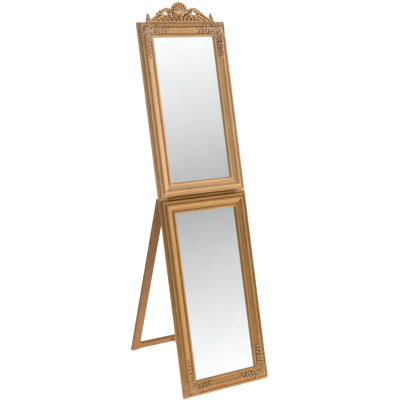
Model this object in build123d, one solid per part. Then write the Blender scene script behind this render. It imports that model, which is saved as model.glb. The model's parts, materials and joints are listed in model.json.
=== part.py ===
from build123d import *
from math import ceil, cos, radians, sin
import os

os.makedirs("parts", exist_ok=True)

# A folding cheval floor mirror, in millimetres. Two framed mirrors stand one above the other and
# lean back on an easel. Each panel is modelled upright, facing -Y, with Z up its height and
# Y = 0 on its front-most line, and is then leaned back onto the floor plane Z = 0.

# ---- Driving dimensions ----
FRAME_WIDTH = 450.0
LOWER_HEIGHT = 900.0
UPPER_HEIGHT = 806.0
PANEL_GAP = 1.0                 # between the two frames' joint faces
MOULDING_WIDTH = 70.0
MOULDING_DEPTH = 28.0
LEAN = 15.26                    # degrees, the panels from upright
SPREAD = 36.5                   # degrees, the easel from the panels
FLOOR_BEVEL_DEPTH = 22.0        # the frame's bottom is planed level behind this depth

SLAB_FRONT = 17.0               # front of the frame's full-width rear slab
REBATE_OFFSET = 62.0            # the rebate's wall, from the frame's outer edge
LIP_BACK = 15.5                 # back of the inner lip, where the glass lies
GLASS_THICKNESS = 3.0
BOARD_THICKNESS = 3.0
GLASS_CLEARANCE = 1.0           # between glass and rebate, all round
BACK_MARGIN = 2.0               # from the fold hinge's leaves to the back of the frames

TAB_SIZE = (16, 0.8, 6)         # a glazier's tab
TAB_CLEARANCE = 0.2             # between a tab and the backing board
TAB_SHARES = (0.2, 0.4, 0.6, 0.8)   # of the frame's height, up each stile
TAB_STEP = 80.0                 # the rails' tabs, from the middle
NAIL_SIZE = (6, 9, 0.6)         # one wing of a V-nail: width, depth, thickness
NAIL_ANGLE = 55                 # degrees, each wing from the ridge's normal
NAIL_OFFSETS = (20, 44)         # along each mitre, from the frame's outer edges

SCREW_SLOT = (2.2, 0.45, 1.2)   # length, width and depth of a cross slot, in shank radii
SCREW_TIP_LENGTH = 2.5          # in shank radii
SCREW_TIP_RADIUS = 0.2
SCREW_CLEARANCE = 0.1           # round a screw in the plate that it holds
SCREW_LENGTH = 14.0
FOLD_SCREW_RADIUS = 1.3
FOLD_SCREWS = 6                 # in each leaf
BUTT_SCREW_RADIUS = 1.5
BUTT_SCREW_DROP = 17.0          # from the easel's hinge axis down to the screws

LEAF_THICKNESS = 1.2
KNUCKLE_RADIUS = 2.4
PIN_RADIUS = 1.2
PIN_CLEARANCE = 0.05
KNUCKLE_CLEARANCE = 0.25        # between a knuckle and the other leaf
SEAM_CLEARANCE = 0.05           # between a leaf of the fold hinge and the joint's plane
FOLD_HINGE_LENGTH = 354.0
FOLD_KNUCKLES = 15
FOLD_AXIS_DEPTH = -3.0          # the fold axis stands in front of the frames

EASEL_AXIS_HEIGHT = 892.0
EASEL_AXIS_DEPTH = MOULDING_DEPTH + 2.8
EASEL_LEG_WIDTH = 40.0
EASEL_THICKNESS = 20.0
EASEL_FACE = 2.8                # from the easel's hinge axis to its front face
EASEL_TOP = 4.0                 # how far the easel rises above its axis
EASEL_RAIL_HEIGHT = 32.0
EASEL_RAIL_THICKNESS = 18.0
BUTT_HINGE_LENGTH = 51.0
BUTT_HINGE_PLACES = {"left": -140.0, "right": 140.0}
BUTT_LEAF_THICKNESS = 1.4
BUTT_LEAF_HEIGHT = 28.0
EASEL_ROUNDING = 1.5            # on the easel's long edges
DOWEL_RADIUS = 4.0
DOWEL_LENGTH = 32.0
DOWEL_CLEARANCE = 0.05
RAIL_FLOOR_GAP = 3.0            # under the easel's bottom rail

CREST_HEIGHT = 95.0
CREST_FRONT = 8.0
CREST_HALF = 178.0              # half the crest's width
SHELL_HEIGHT = 52.0             # the shell's centre, above the frame
SHELL_RADIUS = 36.0
SHELL_LOBES = 5                 # on each side, the middle one shared
SHELL_LOBE_STEP = 22            # degrees
SHELL_LOBE_REACH = 34.0
SHELL_LOBE_RADIUS = 9.0
SCROLL_CENTRE = (70, 41)
SCROLL_RADIUS = 21.0
SCROLL_HOLE_RADIUS = 9.0
LEAF_TIP_CENTRE = (112, 40)
LEAF_TIP_RADIUS = 8.0
ORNAMENT_FRONT = -3.0
ORNAMENT_BACK = 12.0
ORNAMENT_WIDTH_END = 67.0       # the ornaments' inner edge, from the frame's outer edges
ORNAMENT_REACH_ALONG = 155.0
ORNAMENT_REACH_UP = 172.0
UPPER_ORNAMENT_START = 16.0     # the ornaments' outer edge, from the frame's outer edges
LOWER_ORNAMENT_START = 9.0
CREST_PLATE_STEP = 52.0         # the mending plates, from the middle
CREST_PLATE_SIZE = (14, 1.5, 48)
CREST_PLATE_ROUNDING = 6.0
CREST_SCREW_STEP = 16.0         # above and below the joint
CREST_SCREW_RADIUS = 1.5

CHAIN_WIRE_RADIUS = 1.0
CHAIN_LINK_WIDTH = 11.0
CHAIN_PITCH_AT_MOST = 19.9
LINK_CLEARANCE = 0.15
HINGE_RUNNING_GAP = 0.15        # at each end of every knuckle
EYE_RADIUS = 5.0
EYE_WIRE_RADIUS = 1.2
EYE_SHANK_LENGTH = 12.0
FRAME_EYE_HEIGHT = 32.0         # above the lower frame's bottom edge
EASEL_EYE_HEIGHT = 20.0         # above the easel's bottom rail's lower edge

UPPER_BASE = LOWER_HEIGHT + PANEL_GAP
UPPER_TOP = UPPER_BASE + UPPER_HEIGHT
FOLD_AXIS_HEIGHT = LOWER_HEIGHT + PANEL_GAP / 2
EASEL_ANGLE = SPREAD - LEAN     # degrees, the easel from upright
FLOOR_LIFT = FLOOR_BEVEL_DEPTH * sin(radians(LEAN))

# ---- Placing ----
PANEL_PLACE = Pos(0, 0, FLOOR_LIFT) * Rot(X=-LEAN)
EASEL_PLACE = PANEL_PLACE * Pos(0, EASEL_AXIS_DEPTH, EASEL_AXIS_HEIGHT) * Rot(X=SPREAD)


def above_floor(shape):
    """What is left of a placed shape above Z = 0."""
    span = 2 * UPPER_TOP
    ground = Box(span, span, span, align=(Align.CENTER, Align.CENTER, Align.MAX))
    return shape - ground


def block(low, high):
    """A box between two corners."""
    size = [b - a for a, b in zip(low, high)]
    return Pos(*low) * Box(*size, align=(Align.MIN, Align.MIN, Align.MIN))


def rod(radius, length):
    """A cylinder along X, centred on the origin."""
    return Rot(Y=90) * Cylinder(radius, length)


# ---- Fasteners ----
def wood_screw(radius, length, growth=0.0):
    """A countersunk cross-head wood screw, pointing down, head flush with Z = 0."""
    head_radius = 2 * radius + growth
    head_height = radius
    head = Pos(0, 0, -head_height / 2) * Cone(radius + growth, head_radius, head_height)
    tip_height = SCREW_TIP_LENGTH * radius
    shank_height = length - head_height - tip_height
    shank = Pos(0, 0, -head_height - shank_height / 2) * Cylinder(radius + growth, shank_height)
    tip = Pos(0, 0, -length + tip_height / 2) * Cone(SCREW_TIP_RADIUS, radius + growth,
                                                        tip_height)
    screw = head + shank + tip
    if growth:
        return screw
    slot = Box(*[ratio * radius for ratio in SCREW_SLOT])
    return screw - slot - Rot(Z=90) * slot


def retaining_tab():
    """A flat glazier's tab, half in the wood (-X) and half over the backing board (+X)."""
    return Box(*TAB_SIZE)


def mitre_nail():
    """A V-nail that ties a mitre from the back. Its ridge lies on the mitre, along Y."""
    wing = Box(*NAIL_SIZE, align=(Align.MIN, Align.MAX, Align.CENTER))
    return Rot(Y=NAIL_ANGLE) * wing + Rot(Y=-NAIL_ANGLE) * wing


def screw_eye():
    """A ring in the YZ plane with its shank along -Y, the ring's centre at the origin."""
    ring = Rot(Y=90) * Torus(EYE_RADIUS, EYE_WIRE_RADIUS)
    reach = EYE_SHANK_LENGTH + EYE_WIRE_RADIUS
    shank = Pos(0, -EYE_RADIUS - reach / 2, 0) * Rot(X=90) * Cylinder(EYE_WIRE_RADIUS, reach)
    return ring + shank


# ---- The moulding ----
def moulding_section():
    """The section across one moulding, from its outer edge (offset 0) inwards, as (depth, offset)."""
    with BuildSketch(Plane.YZ) as section:
        with BuildLine():
            Polyline((9.5, 70), (LIP_BACK, 70), (LIP_BACK, REBATE_OFFSET), (28, REBATE_OFFSET),
                     (28, 0), (SLAB_FRONT, 0), (SLAB_FRONT, 2.5))
            ThreePointArc((SLAB_FRONT, 2.5), (13.9, 7.2), (8, 9))       # cove up the side
            Line((8, 9), (5, 9))
            ThreePointArc((5, 9), (2, 12), (5, 15))                     # outer bead
            ThreePointArc((5, 15), (6.8, 19.5), (3.5, 24))              # hollow
            ThreePointArc((3.5, 24), (0, 31), (1.8, 36))                # main ridge
            Line((1.8, 36), (2.6, 36))
            ThreePointArc((2.6, 36), (7, 45), (9.5, 54))                # broad inner cove
            Polyline((9.5, 54), (11, 54), (11, 56), (9, 56))            # groove
            ThreePointArc((9, 56), (6, 63), (9.5, 70))                  # bead at the sight edge
        make_face()
    return section.sketch


def mitred_bar(length):
    """One moulding along X, outer edge on Z = 0, with both ends cut at 45 degrees."""
    bar = extrude(moulding_section(), amount=length / 2, both=True)
    reach = MOULDING_WIDTH + 1
    half = length / 2
    corners = [(-half, 0), (half, 0), (half - reach, reach), (reach - half, reach)]
    keep = extrude(Plane.XZ * make_face(Polyline(*corners, close=True)),
                   amount=2 * MOULDING_DEPTH, both=True)
    return bar & keep


def frame_bars(base, height):
    """The four mitred pieces of one frame, by side."""
    half = FRAME_WIDTH / 2
    middle = base + height / 2
    stile = mitred_bar(height)
    rail = mitred_bar(FRAME_WIDTH)
    return {
        "left_stile": Pos(-half, 0, middle) * Rot(Y=90) * stile,
        "right_stile": Pos(half, 0, middle) * Rot(Y=-90) * stile,
        "top_rail": Pos(0, 0, base + height) * Rot(Y=180) * rail,
        "bottom_rail": Pos(0, 0, base) * rail,
    }


def rebated_sheet(base, height, front, thickness):
    """A flat sheet that fills the rebate of one frame."""
    inset = REBATE_OFFSET + GLASS_CLEARANCE
    half = FRAME_WIDTH / 2 - inset
    return block((-half, front, base + inset), (half, front + thickness, base + height - inset))


def retaining_tabs(base, height):
    """The tabs round one rebate that hold the backing board in."""
    depth = LIP_BACK + GLASS_THICKNESS + BOARD_THICKNESS + TAB_CLEARANCE + TAB_SIZE[1] / 2
    wall = FRAME_WIDTH / 2 - REBATE_OFFSET
    tabs = []
    for share in TAB_SHARES:
        up = base + share * height
        tabs.append(Pos(-wall, depth, up) * retaining_tab())
        tabs.append(Pos(wall, depth, up) * retaining_tab())
    for along in (-TAB_STEP, TAB_STEP):
        for up in (base + REBATE_OFFSET, base + height - REBATE_OFFSET):
            tabs.append(Pos(along, depth, up) * Rot(Y=90) * retaining_tab())
    return tabs


def mitre_nails(base, height):
    """Two V-nails across each mitre, driven flush from the back."""
    nails = []
    for side in (-1, 1):
        for end, up in ((1, base), (-1, base + height)):
            turn = 45 if side == end else -45
            for offset in NAIL_OFFSETS:
                place = Pos(side * (FRAME_WIDTH / 2 - offset), MOULDING_DEPTH, up + end * offset)
                nails.append(place * Rot(Y=turn) * mitre_nail())
    return nails


# ---- Ornament ----
def corner_ornament(side, end, corner_height, outer, bars):
    """An L of cast leafwork over one corner, shaped below to sit on the moulding.

    side is -1 at the left and 1 at the right; end is 1 where the frame lies above the corner.
    """
    start = (outer, ORNAMENT_FRONT, outer)
    across = block(start, (ORNAMENT_REACH_ALONG, ORNAMENT_BACK, ORNAMENT_WIDTH_END))
    upright = block(start, (ORNAMENT_WIDTH_END, ORNAMENT_BACK, ORNAMENT_REACH_UP))
    shape = across + upright
    if end < 0:
        shape = mirror(shape, about=Plane.XY)
    if side > 0:
        shape = mirror(shape, about=Plane.YZ)
    shape = Pos(side * FRAME_WIDTH / 2, 0, corner_height) * shape
    for bar in bars.values():
        shape = shape - bar
    return max(shape.solids(), key=lambda solid: solid.volume)


def crest_outline():
    """The crest's silhouette: a shell between two C-scrolls, with stems that run down to finials."""
    stem = [(0, 0), (CREST_HALF, 0), (172, 10), (140, 20), (114, 36), (95, 50), (70, 42), (0, 40)]
    finial = [(150, 0), (CREST_HALF, 0), (173, 20), (164, 34), (154, 22)]
    half = make_face(Polyline(*stem, close=True)) + make_face(Polyline(*finial, close=True))
    half += Pos(*SCROLL_CENTRE) * Circle(SCROLL_RADIUS)
    half += Pos(*LEAF_TIP_CENTRE) * Circle(LEAF_TIP_RADIUS)
    for lobe in range(SHELL_LOBES):
        angle = radians(90 - SHELL_LOBE_STEP * lobe)
        out = SHELL_LOBE_REACH * cos(angle)
        up = SHELL_LOBE_REACH * sin(angle)
        half += Pos(out, SHELL_HEIGHT + up) * Circle(SHELL_LOBE_RADIUS)
    half += Pos(0, SHELL_HEIGHT) * Circle(SHELL_RADIUS)
    half -= Pos(*SCROLL_CENTRE) * Circle(SCROLL_HOLE_RADIUS)
    whole = half + mirror(half, about=Plane.YZ)
    frame = Pos(0, CREST_HEIGHT / 2) * Rectangle(2 * CREST_HALF, CREST_HEIGHT)
    return whole & frame


def crest():
    """The crest, standing on the upper frame's top edge."""
    outline = Plane.XZ * crest_outline()
    solid = extrude(outline, amount=MOULDING_DEPTH - CREST_FRONT, dir=(0, 1, 0))
    return Pos(0, CREST_FRONT, UPPER_TOP) * solid


# ---- Hinges ----
def knuckles(count, length, first):
    """Every second knuckle of a barrel along X, starting with knuckle number first."""
    pitch = length / count
    pieces = []
    for number in range(first, count, 2):
        centre = -length / 2 + (number + 0.5) * pitch
        pieces.append(Pos(centre, 0, 0) * rod(KNUCKLE_RADIUS, pitch - 2 * HINGE_RUNNING_GAP))
    return pieces


def hinge_leaf(count, length, first, plate, web):
    """One leaf of a hinge whose axis is the X axis.

    plate is the flat part and web the strip that joins it to the barrel; the web is kept only
    beside the leaf's own knuckles.
    """
    bore_length = 1.1 * length
    clearance = rod(KNUCKLE_RADIUS + KNUCKLE_CLEARANCE, bore_length)
    own = knuckles(count, length, first)
    webs = [web & Pos(piece.center().X, 0, 0) * Box(piece.bounding_box().size.X, length, length)
            for piece in own]
    leaf = plate - clearance
    for piece in own + webs:
        leaf = leaf + piece
    return leaf - rod(PIN_RADIUS + PIN_CLEARANCE, bore_length)


def screw_row(count, length):
    """Evenly spaced places along X for a leaf's screws."""
    pitch = length / count
    return [-length / 2 + (number + 0.5) * pitch for number in range(count)]


def fold_hinge():
    """The long hinge between the two frames: leaves, pin and screws, upright in place."""
    half = FOLD_HINGE_LENGTH / 2
    seam = SEAM_CLEARANCE
    leaf_back = MOULDING_DEPTH - BACK_MARGIN
    plate = block((-half, 0, -LEAF_THICKNESS - seam), (half, leaf_back - FOLD_AXIS_DEPTH, -seam))
    web = block((-half, 0, -LEAF_THICKNESS - seam), (half, KNUCKLE_RADIUS + 1, -seam))
    lower = hinge_leaf(FOLD_KNUCKLES, FOLD_HINGE_LENGTH, 0, plate, web)
    upper = hinge_leaf(FOLD_KNUCKLES, FOLD_HINGE_LENGTH, 1, mirror(plate, about=Plane.XY),
                       mirror(web, about=Plane.XY))
    place = Pos(0, FOLD_AXIS_DEPTH, FOLD_AXIS_HEIGHT)
    screw_depth = (SLAB_FRONT + leaf_back) / 2 - FOLD_AXIS_DEPTH
    hole = wood_screw(FOLD_SCREW_RADIUS, SCREW_LENGTH, growth=SCREW_CLEARANCE)
    screw = wood_screw(FOLD_SCREW_RADIUS, SCREW_LENGTH)
    lower_screws = []
    upper_screws = []
    for along in screw_row(FOLD_SCREWS, FOLD_HINGE_LENGTH):
        down = Pos(along, screw_depth, -seam)
        up = Pos(along, screw_depth, seam) * Rot(X=180)
        lower = lower - down * hole
        upper = upper - up * hole
        lower_screws.append(place * down * screw)
        upper_screws.append(place * up * screw)
    return {
        "lower_leaf": place * lower,
        "upper_leaf": place * upper,
        "pin": place * rod(PIN_RADIUS, FOLD_HINGE_LENGTH),
        "lower_screws": lower_screws,
        "upper_screws": upper_screws,
    }


def leaf_mortise(sign):
    """The shallow recess that one leaf of the fold hinge lies in; sign is -1 for the lower frame."""
    half = FOLD_HINGE_LENGTH / 2
    low, high = sorted((0.0, sign * (SEAM_CLEARANCE + LEAF_THICKNESS)))
    return block((-half, 0, FOLD_AXIS_HEIGHT + low),
                 (half, MOULDING_DEPTH - BACK_MARGIN, FOLD_AXIS_HEIGHT + high))


def butt_hinge():
    """One small hinge for the easel, closed, about its own axis: frame leaf at -Y, easel leaf at +Y.

    It returns the two leaves, the pin and the screws of each leaf.
    """
    half = BUTT_HINGE_LENGTH / 2
    hole = wood_screw(BUTT_SCREW_RADIUS, SCREW_LENGTH, growth=SCREW_CLEARANCE)
    screw = wood_screw(BUTT_SCREW_RADIUS, SCREW_LENGTH)
    frame_face = MOULDING_DEPTH - EASEL_AXIS_DEPTH
    frame_plate = block((-half, frame_face, -BUTT_LEAF_HEIGHT),
                        (half, frame_face + BUTT_LEAF_THICKNESS, 0))
    easel_plate = block((-half, EASEL_FACE - BUTT_LEAF_THICKNESS, -BUTT_LEAF_HEIGHT),
                        (half, EASEL_FACE, 0))
    frame_leaf = hinge_leaf(3, BUTT_HINGE_LENGTH, 0, frame_plate, frame_plate)
    easel_leaf = hinge_leaf(3, BUTT_HINGE_LENGTH, 1, easel_plate, easel_plate)
    frame_screws = []
    easel_screws = []
    frame_front = frame_face + BUTT_LEAF_THICKNESS
    easel_front = EASEL_FACE - BUTT_LEAF_THICKNESS
    for along in screw_row(2, BUTT_HINGE_LENGTH):
        into_frame = Pos(along, frame_front, -BUTT_SCREW_DROP) * Rot(X=-90)
        into_easel = Pos(along, easel_front, -BUTT_SCREW_DROP) * Rot(X=90)
        frame_leaf = frame_leaf - into_frame * hole
        easel_leaf = easel_leaf - into_easel * hole
        frame_screws.append(into_frame * screw)
        easel_screws.append(into_easel * screw)
    return frame_leaf, easel_leaf, rod(PIN_RADIUS, BUTT_HINGE_LENGTH), frame_screws, easel_screws


# ---- The easel, about its hinge axis, hanging closed ----
AXIS_WORLD_HEIGHT = (FLOOR_LIFT + EASEL_AXIS_HEIGHT * cos(radians(LEAN))
                     - EASEL_AXIS_DEPTH * sin(radians(LEAN)))
EASEL_TILT = radians(EASEL_ANGLE)
LEG_END = (AXIS_WORLD_HEIGHT + (EASEL_FACE + EASEL_THICKNESS) * sin(EASEL_TILT)) / cos(EASEL_TILT)
RAIL_END = (AXIS_WORLD_HEIGHT + EASEL_FACE * sin(EASEL_TILT) - RAIL_FLOOR_GAP) / cos(EASEL_TILT)


def easel_bars():
    """Two legs and two rails, before they are cut level with the floor."""
    half = FRAME_WIDTH / 2
    inside = half - EASEL_LEG_WIDTH
    back = EASEL_FACE + EASEL_THICKNESS
    rail_front = EASEL_FACE + (EASEL_THICKNESS - EASEL_RAIL_THICKNESS) / 2
    rail_back = rail_front + EASEL_RAIL_THICKNESS
    legs = {
        "left_leg": block((-half, EASEL_FACE, -LEG_END), (-inside, back, EASEL_TOP)),
        "right_leg": block((inside, EASEL_FACE, -LEG_END), (half, back, EASEL_TOP)),
    }
    for name, leg in legs.items():
        long_edges = leg.edges().filter_by(Axis.Z)
        legs[name] = fillet(long_edges, EASEL_ROUNDING)
    top_rail = block((-inside, EASEL_FACE, EASEL_TOP - EASEL_LEG_WIDTH), (inside, back, EASEL_TOP))
    bottom_rail = block((-inside, rail_front, -RAIL_END),
                        (inside, rail_back, EASEL_RAIL_HEIGHT - RAIL_END))
    return {**legs, "top_rail": top_rail,
            "bottom_rail": fillet(bottom_rail.edges().filter_by(Axis.X), EASEL_ROUNDING)}


def easel_dowels(growth=0.0):
    """Two dowels through each joint of the easel, half in the leg and half in the rail."""
    inside = FRAME_WIDTH / 2 - EASEL_LEG_WIDTH
    middle = EASEL_FACE + EASEL_THICKNESS / 2
    top_middle = EASEL_TOP - EASEL_LEG_WIDTH / 2
    bottom_middle = EASEL_RAIL_HEIGHT / 2 - RAIL_END
    top_step = EASEL_LEG_WIDTH / 4
    bottom_step = EASEL_RAIL_HEIGHT / 4
    dowels = []
    for side in (-1, 1):
        for height, step in ((top_middle, top_step), (bottom_middle, bottom_step)):
            for up in (height - step, height + step):
                place = Pos(side * inside, middle, up)
                dowels.append(place * rod(DOWEL_RADIUS + growth, DOWEL_LENGTH + 2 * growth))
    return dowels


# ---- The chain ----
def chain_link(inner_length):
    """An oval link along Y, flat in the XY plane."""
    wire = CHAIN_WIRE_RADIUS
    bend = CHAIN_LINK_WIDTH / 2 - wire
    straight = inner_length + 2 * wire - 2 * bend
    half = straight / 2
    with BuildPart() as link:
        with BuildLine() as path:
            Line((bend, -half), (bend, half))
            ThreePointArc((bend, half), (0, half + bend), (-bend, half))
            Line((-bend, half), (-bend, -half))
            ThreePointArc((-bend, -half), (0, -half - bend), (bend, -half))
        with BuildSketch(Plane(origin=(bend, -half, 0), z_dir=(0, 1, 0))):
            Circle(wire)
        sweep(path=path.wires()[0])
    return link.part


def chain(start, end):
    """Links pulled straight from one screw eye's centre to the other's, in the plane X = 0."""
    run = end - start
    # An end link hangs inside its eye's wire: its wire's centre line stands this far from the
    # eye's centre.
    end_link = EYE_RADIUS - EYE_WIRE_RADIUS - CHAIN_WIRE_RADIUS - LINK_CLEARANCE
    free = run.length - 2 * end_link
    count = 2 * ceil((free / CHAIN_PITCH_AT_MOST - 1) / 2) + 1
    pitch = (free - LINK_CLEARANCE) / count
    inner_length = pitch + LINK_CLEARANCE
    direction = run.normalized()
    tilt = Plane(origin=start, x_dir=(1, 0, 0), z_dir=Vector(1, 0, 0).cross(direction))
    links = []
    for number in range(count):
        along = end_link + LINK_CLEARANCE / 2 + (number + 0.5) * pitch
        turn = 90 if number % 2 else 0
        link = Pos(0, along, 0) * Rot(Y=turn) * chain_link(inner_length)
        links.append(tilt * link)
    print("chain: %d links, pitch %.2f, eye to eye %.1f" % (count, pitch, run.length))
    return links


# ---- Assembly ----
def build():
    """Every node, placed in the leaning, open pose."""
    nodes = {}
    hinge = fold_hinge()

    # Upper panel
    upper = frame_bars(UPPER_BASE, UPPER_HEIGHT)
    for side, sign in (("left", -1), ("right", 1)):
        nodes["upper_corner_ornament_" + side] = corner_ornament(
            sign, -1, UPPER_TOP, UPPER_ORNAMENT_START, upper)
    upper_tabs = retaining_tabs(UPPER_BASE, UPPER_HEIGHT)
    upper_nails = mitre_nails(UPPER_BASE, UPPER_HEIGHT)
    plates, plate_screws = crest_plates()
    crest_solid = crest()
    for screw in plate_screws:
        crest_solid = crest_solid - screw
    upper_cutters = upper_tabs + upper_nails + plate_screws + hinge["upper_screws"]
    upper_cutters.append(leaf_mortise(1))
    for name, bar in upper.items():
        nodes["upper_" + name] = carve(bar, upper_cutters)
    nodes["upper_mirror_glass"] = rebated_sheet(UPPER_BASE, UPPER_HEIGHT, LIP_BACK, GLASS_THICKNESS)
    nodes["upper_backing_board"] = rebated_sheet(
        UPPER_BASE, UPPER_HEIGHT, LIP_BACK + GLASS_THICKNESS, BOARD_THICKNESS)
    nodes["upper_retaining_tabs"] = upper_tabs
    nodes["upper_mitre_nails"] = upper_nails
    nodes["crest"] = crest_solid
    nodes["crest_plates"] = plates
    nodes["crest_screws"] = plate_screws
    nodes["fold_hinge_upper_leaf"] = hinge["upper_leaf"]
    nodes["fold_hinge_upper_screws"] = hinge["upper_screws"]

    # Lower panel
    lower = frame_bars(0, LOWER_HEIGHT)
    for side, sign in (("left", -1), ("right", 1)):
        nodes["lower_corner_ornament_" + side] = corner_ornament(
            sign, 1, 0, LOWER_ORNAMENT_START, lower)
    lower_tabs = retaining_tabs(0, LOWER_HEIGHT)
    lower_nails = mitre_nails(0, LOWER_HEIGHT)
    frame_leaf, easel_leaf, pin, frame_screws, easel_screws = butt_hinge()
    hinge_places = {side: Pos(x, 0, 0) for side, x in BUTT_HINGE_PLACES.items()}
    axis = Pos(0, EASEL_AXIS_DEPTH, EASEL_AXIS_HEIGHT)
    all_frame_screws = [axis * place * screw
                        for place in hinge_places.values() for screw in frame_screws]
    ring_depth = MOULDING_DEPTH + EYE_RADIUS + EYE_WIRE_RADIUS
    frame_eye_centre = Vector(0, ring_depth, FRAME_EYE_HEIGHT)
    frame_eye = Pos(frame_eye_centre) * screw_eye()
    lower_cutters = lower_tabs + lower_nails + hinge["lower_screws"] + all_frame_screws
    lower_cutters += [leaf_mortise(-1), frame_eye]
    for name, bar in lower.items():
        nodes["lower_" + name] = carve(bar, lower_cutters)
    nodes["lower_mirror_glass"] = rebated_sheet(0, LOWER_HEIGHT, LIP_BACK, GLASS_THICKNESS)
    nodes["lower_backing_board"] = rebated_sheet(
        0, LOWER_HEIGHT, LIP_BACK + GLASS_THICKNESS, BOARD_THICKNESS)
    nodes["lower_retaining_tabs"] = lower_tabs
    nodes["lower_mitre_nails"] = lower_nails
    nodes["fold_hinge_lower_leaf"] = hinge["lower_leaf"]
    nodes["fold_hinge_lower_screws"] = hinge["lower_screws"]
    nodes["fold_hinge_pin"] = hinge["pin"]
    nodes["frame_screw_eye"] = frame_eye
    nodes["easel_hinge_frame_screws"] = all_frame_screws
    for side, place in hinge_places.items():
        nodes["easel_hinge_frame_leaf_" + side] = axis * place * frame_leaf
        nodes["easel_hinge_pin_" + side] = axis * place * pin
    placed = {name: moved(shape, PANEL_PLACE) for name, shape in nodes.items()}

    # Easel
    easel = {}
    all_easel_screws = [place * screw for place in hinge_places.values() for screw in easel_screws]
    rail_front = EASEL_FACE + (EASEL_THICKNESS - EASEL_RAIL_THICKNESS) / 2
    easel_eye_centre = Vector(0, rail_front - EYE_RADIUS - EYE_WIRE_RADIUS,
                              EASEL_EYE_HEIGHT - RAIL_END)
    easel_eye = Pos(easel_eye_centre) * Rot(Z=180) * screw_eye()
    cutters = all_easel_screws + easel_dowels(growth=DOWEL_CLEARANCE) + [easel_eye]
    for name, bar in easel_bars().items():
        easel["easel_" + name] = carve(bar, cutters)
    easel["easel_dowels"] = easel_dowels()
    easel["easel_hinge_easel_screws"] = all_easel_screws
    easel["easel_screw_eye"] = easel_eye
    for side, place in hinge_places.items():
        easel["easel_hinge_easel_leaf_" + side] = place * easel_leaf
    placed.update({name: moved(shape, EASEL_PLACE) for name, shape in easel.items()})

    for name in ("lower_bottom_rail", "lower_left_stile", "lower_right_stile",
                 "easel_left_leg", "easel_right_leg"):
        placed[name] = above_floor(placed[name])

    chain_start = PANEL_PLACE * Pos(frame_eye_centre)
    chain_end = EASEL_PLACE * Pos(easel_eye_centre)
    placed["spread_chain"] = chain(chain_start.position, chain_end.position)
    return placed


def crest_plates():
    """Two flat mending plates behind the crest, with a screw above and below each joint."""
    hole = wood_screw(CREST_SCREW_RADIUS, SCREW_LENGTH, growth=SCREW_CLEARANCE)
    screw = wood_screw(CREST_SCREW_RADIUS, SCREW_LENGTH)
    plates = []
    screws = []
    for along in (-CREST_PLATE_STEP, CREST_PLATE_STEP):
        plate = Box(*CREST_PLATE_SIZE, align=(Align.CENTER, Align.MIN, Align.CENTER))
        plate = fillet(plate.edges().filter_by(Axis.Y), CREST_PLATE_ROUNDING)
        plate = Pos(along, MOULDING_DEPTH, UPPER_TOP) * plate
        for up in (-CREST_SCREW_STEP, CREST_SCREW_STEP):
            place = Pos(along, MOULDING_DEPTH + CREST_PLATE_SIZE[1], UPPER_TOP + up) * Rot(X=-90)
            plate = plate - place * hole
            screws.append(place * screw)
        plates.append(plate)
    return plates, screws


def carve(bar, cutters):
    """A bar less every cutter that reaches it."""
    reach = bar.bounding_box()
    for cutter in cutters:
        box = cutter.bounding_box()
        apart = (box.max.X < reach.min.X or box.min.X > reach.max.X
                 or box.max.Y < reach.min.Y or box.min.Y > reach.max.Y
                 or box.max.Z < reach.min.Z or box.min.Z > reach.max.Z)
        if not apart:
            bar = bar - cutter
    return bar


def moved(shape, place):
    """A solid or a list of solids, placed."""
    if isinstance(shape, list):
        return [place * piece for piece in shape]
    return place * shape


def solids_of(shape):
    """The plain solids of a node."""
    pieces = shape if isinstance(shape, list) else [shape]
    return [solid for piece in pieces for solid in piece.solids()]


def main():
    placed = build()
    solids = [solid for shape in placed.values() for solid in solids_of(shape)]
    everything = Compound(children=solids)
    box = everything.bounding_box()
    origin = Pos(0, -(box.min.Y + box.max.Y) / 2, 0)
    for name, shape in placed.items():
        pieces = [origin * solid for solid in solids_of(shape)]
        node = pieces[0] if len(pieces) == 1 else Compound(children=pieces)
        export_step(node, "parts/" + name + ".step")
    fold = (origin * PANEL_PLACE * Pos(0, FOLD_AXIS_DEPTH, FOLD_AXIS_HEIGHT)).position
    swing = (origin * EASEL_PLACE).position
    foot = (origin * PANEL_PLACE * Pos(0, FLOOR_BEVEL_DEPTH, 0)).position
    print("overall", box.size, "lowest", box.min.Z)
    print("fold axis", fold)
    print("easel axis", swing)
    print("bevel front edge", foot)


main()
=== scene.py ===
# %% [markdown]
# # A folding cheval floor mirror
# Two gilt frames stand one above the other, joined by a long hinge, and lean back on an easel.
# The sawn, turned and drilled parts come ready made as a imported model. This lesson gives them
# their finishes, carves the leafwork that a milling machine can't, and sets up a photo studio.

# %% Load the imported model
import json
import math
import random

import bpy
import numpy as np
from mathutils import Matrix, Vector


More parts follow.
